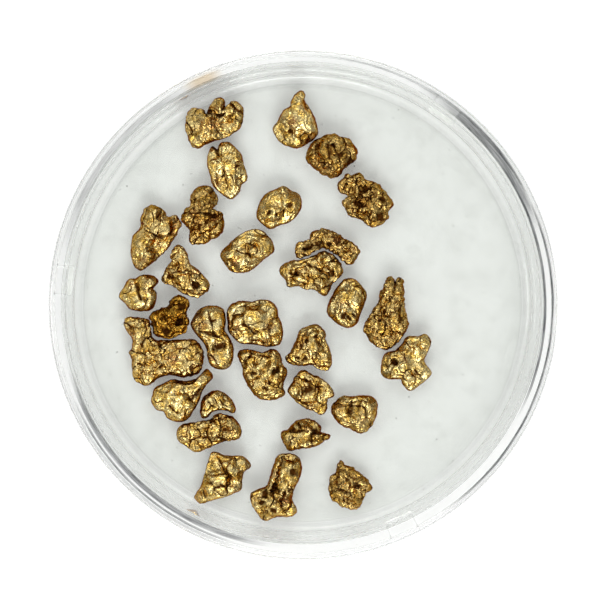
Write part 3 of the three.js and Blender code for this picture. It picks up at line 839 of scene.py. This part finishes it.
def wave(points, kind, seed):
    """One of the skin's waves of noise."""
    wavelength, own_seed = kind
    return value_noise(points, wavelength, seed + own_seed)


def shifts(points, kind, seed):
    """Three waves of noise side by side, to shift points by."""
    wavelength, own_seeds = kind
    return np.stack([value_noise(points, wavelength, seed + own_seed) for own_seed in own_seeds], axis=-1)


def fold_waves(bent, seed):
    """Waves drawn out along one direction of the nugget's own, which folds follow."""
    lie = np.random.default_rng(seed).uniform(0, math.pi)
    along = bent @ np.array([math.cos(lie), math.sin(lie), 0])
    across = bent @ np.array([-math.sin(lie), math.cos(lie), 0])
    return wave(np.stack([0.45 * along, across, 0.6 * bent[..., 2]], axis=-1), FOLDS, seed)


def nugget_piece(node, index):
    """A nugget: the CAD body's outline, closed in to a domed crown and a foot. Its crown is raised and
    lowered by swells, folds, ridges and its own marks. Its skin is then pushed along its normal by
    folds, lumps and grains with sharp creases, each made from the absolute value of smooth noise."""
    wear, marks = NUGGETS[index]
    fullness, folding, lumpiness, graininess, dullness = WEAR[wear]
    corners, crown, foot, widest = ring_of(node)
    rings, spread, topside = domed_rings(corners, crown, foot, widest, fullness)
    seed = 100 * index
    warp = shifts(rings, WARP, seed)
    bent = rings + WARP_SHIFT * warp + RIPPLE_SHIFT * shifts(rings, RIPPLE, seed)
    plan = rings[..., :2] - crown[:2] + MARK_SHIFT * warp[..., :2]
    height, pitted, stained = mark_fields(plan, marks)
    swell = wave(bent * (1, 1, 0.4), SWELL, seed)
    fold_field = fold_waves(bent, seed)
    folds = np.abs(fold_field)
    fold_distance = line_distance(fold_field, rings)
    lumps = np.abs(wave(bent, LUMPS, seed))
    grains = np.abs(wave(bent, GRAINS, seed))
    fine = wave(rings, FINE_GRAIN, seed)
    ridges = (1 - np.abs(wave(bent * (1, 1, 0.5), RIDGES, seed))) ** 4

    tall = crown[2] - foot
    rise = 0.24 * tall * (swell - 0.3) + MM * folding * (0.7 * (folds - 0.25) + 0.55 * (ridges - 0.5))
    rings[..., 2] += topside[:, None] * np.minimum(rise + height, CROWN_GAIN)
    push = 0.2 * MM * folding * (folds - 0.25)
    push = push + 0.52 * MM * lumpiness * (lumps - 0.22)
    push = push + MM * graininess * (0.34 * (grains - 0.22) + 0.08 * fine)
    under = smooth_step(0.0, 0.5, (widest - rings[..., 2]) / (widest - foot))
    at_rim = np.exp(-((spread - 1) / RIM_WIDTH) ** 2)[:, None]
    push = np.clip(push * (1 - 0.5 * at_rim) * (1 - 0.7 * under), -SKIN_SINK, SKIN_GAIN) + RIM_SWELL * at_rim
    rings = rings + grid_normals(rings) * push[..., None]
    rings[..., 2] = np.maximum(rings[..., 2], foot)
    top_pole = (*crown[:2], rings[0, :, 2].mean())
    piece = closed_surface(node + "_gold", rings, top_pole, (*crown[:2], foot))

    fading = smooth_step(-0.45, 0.35, wave(rings, CREASE_FADING, seed))
    crease = 0.9 * folding * fading * np.exp(-(fold_distance / CREASE_WIDTH) ** 2)
    crease = crease + 0.42 * lumpiness * np.exp(-(lumps / 0.09) ** 2)
    crease = crease + 0.22 * graininess * np.exp(-(grains / 0.1) ** 2)
    fields = {
        "hollow": np.clip(np.maximum(crease, pitted * (0.9 + 0.4 * fine)), 0, 1),
        # How steep the skin is, for the painted shade on the flanks.
        "flank_shade": 1 - np.clip(grid_normals(rings)[..., 2], 0, 1),
        "stain": np.maximum(0.5 * smooth_step(0.35, 0.75, wave(rings, STAIN_PATCHES, seed)), stained),
        "tone": np.full(rings.shape[:2], dullness),
    }
    for label, values in fields.items():
        store(piece, label, np.concatenate([[values[0].mean()], values.ravel(), [values[-1].mean()]]))
    return piece


# ================================================================ studio
CAMERA_LENS = 260.4
CAMERA_PLACE = (-0.6 * MM, 0.91 * MM)
CAMERA_HEIGHT = 0.8

# The room's light by angle from straight up, in degrees: dark straight overhead, open round that, nearly
# closed further down, with a bright skyline. Sharp reflections also see a pale wall.
CEILING_GLOW = 0.6
OVERHEAD_EDGE = (7, 17)
CEILING_EDGE = (45, 68)
CEILING_REMAINS = 0.1
SKYLINE_EDGE = (80, 88)
SKYLINE_GLOW = 0.75
WALL_EDGE = (62, 76)
WALL_GLOW = 0.62
ROOM_WHITE = (1.0, 1.0, 1.0)

# The softboxes: azimuth anticlockwise from +X and elevation in degrees, distance, width and height in
# metres, and radiance.
SOFTBOXES = {
    "front_box": (-82, 48, 0.95, 0.66, 0.42, 5.2),
    "back_box": (83, 50, 0.95, 0.6, 0.35, 2.4),
    "left_box": (182, 45, 0.9, 0.2, 0.45, 3.0),
}
FLOOR_HALF = 3.0


def camera():
    """Straight down on the dish from high above the lid, on a long lens."""
    data = bpy.data.cameras.new("camera")
    data.sensor_width = 36.0
    data.lens = CAMERA_LENS
    data.clip_start = 0.01
    data.clip_end = 20.0
    made = bpy.data.objects.new("camera", data)
    made.location = (*CAMERA_PLACE, LID_TOP + CAMERA_HEIGHT)
    bpy.context.collection.objects.link(made)
    bpy.context.scene.camera = made


def softbox(name, azimuth, elevation, distance, width, height, radiance):
    """A rectangular light aimed at the dish."""
    turn, rise = math.radians(azimuth), math.radians(elevation)
    data = bpy.data.lights.new(name, "AREA")
    data.shape = "RECTANGLE"
    data.size = width
    data.size_y = height
    data.energy = radiance * math.pi * width * height
    made = bpy.data.objects.new(name, data)
    made.location = (
        distance * math.cos(rise) * math.cos(turn),
        distance * math.cos(rise) * math.sin(turn),
        distance * math.sin(rise),
    )
    made.rotation_euler = (math.pi / 2 - rise, 0, turn + math.pi / 2)
    bpy.context.collection.objects.link(made)


def by_angle(tree, off_zenith, edge, start, end):
    """A value that changes smoothly between two angles from straight up."""
    return map_range(tree, off_zenith, math.radians(edge[0]), math.radians(edge[1]), start, end)


def room():
    """The world: a soft ceiling, a skyline and, for sharp reflections, a wall, plain white to the
    camera."""
    world = bpy.data.worlds.new("room")
    world.use_nodes = True
    bpy.context.scene.world = world
    tree = world.node_tree
    direction = tree.nodes.new("ShaderNodeTexCoord").outputs["Generated"]
    parts = tree.nodes.new("ShaderNodeSeparateXYZ")
    tree.links.new(direction, parts.inputs["Vector"])
    off_zenith = math_node(tree, "ARCCOSINE", parts.outputs["Z"])
    opened = by_angle(tree, off_zenith, OVERHEAD_EDGE, 0.0, 1.0)
    closed = by_angle(tree, off_zenith, CEILING_EDGE, 1.0, CEILING_REMAINS)
    ceiling = math_node(tree, "MULTIPLY", opened, closed)
    ceiling = math_node(tree, "MULTIPLY", ceiling, CEILING_GLOW)
    ceiling = math_node(tree, "ADD", ceiling, by_angle(tree, off_zenith, SKYLINE_EDGE, 0.0, SKYLINE_GLOW))
    path = tree.nodes.new("ShaderNodeLightPath")
    wall = by_angle(tree, off_zenith, WALL_EDGE, 0.0, WALL_GLOW)
    mirrored = math_node(tree, "MULTIPLY", wall, path.outputs["Is Singular Ray"])
    ceiling = math_node(tree, "MAXIMUM", ceiling, mirrored)
    seen = mix_colour(tree, path.outputs["Is Camera Ray"], ceiling, ROOM_WHITE)
    tree.links.new(seen, tree.nodes["Background"].inputs["Color"])


def table():
    """The flat floor under the dish."""
    corners = [(-1, -1, 0), (1, -1, 0), (1, 1, 0), (-1, 1, 0)]
    floor = mesh_object("floor", FLOOR_HALF * np.array(corners), [0, 1, 2, 3], [0])
    floor.data.materials.append(plain_floor())


def studio():
    """A white table in a dim room, with softboxes. Light may pass through many skins of plastic."""
    scene = bpy.context.scene
    scene.view_settings.view_transform = "Standard"
    scene.cycles.transparent_max_bounces = 24
    scene.cycles.max_bounces = 32
    scene.cycles.transmission_bounces = 32
    scene.cycles.glossy_bounces = 24
    table()
    room()
    for name, row in SOFTBOXES.items():
        softbox(name, *row)


# ================================================================ assembly
camera()
studio()

haze = plastic_haze_group()
base = base_piece()
base_rings = shade_rings_group("BaseShadeRings", BASE_SHADE_RINGS)
base.data.materials.append(clear_plastic("base_clear", BASE_TINTS, haze, base_rings))
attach(base, "dish_base")
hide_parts("dish_base")

lid = lid_piece()
lid_rings = shade_rings_group("LidShadeRings", LID_SHADE_RINGS)
lid.data.materials.append(clear_plastic("lid_clear", LID_TINTS, haze, lid_rings, shade_band_group()))
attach(lid, "dish_lid")
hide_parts("dish_lid")

gold = natural_gold()
for index, node in enumerate(NUGGET_NAMES, 1):
    nugget = nugget_piece(node, index)
    nugget.data.materials.append(gold)
    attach(nugget, node)
    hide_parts(node)
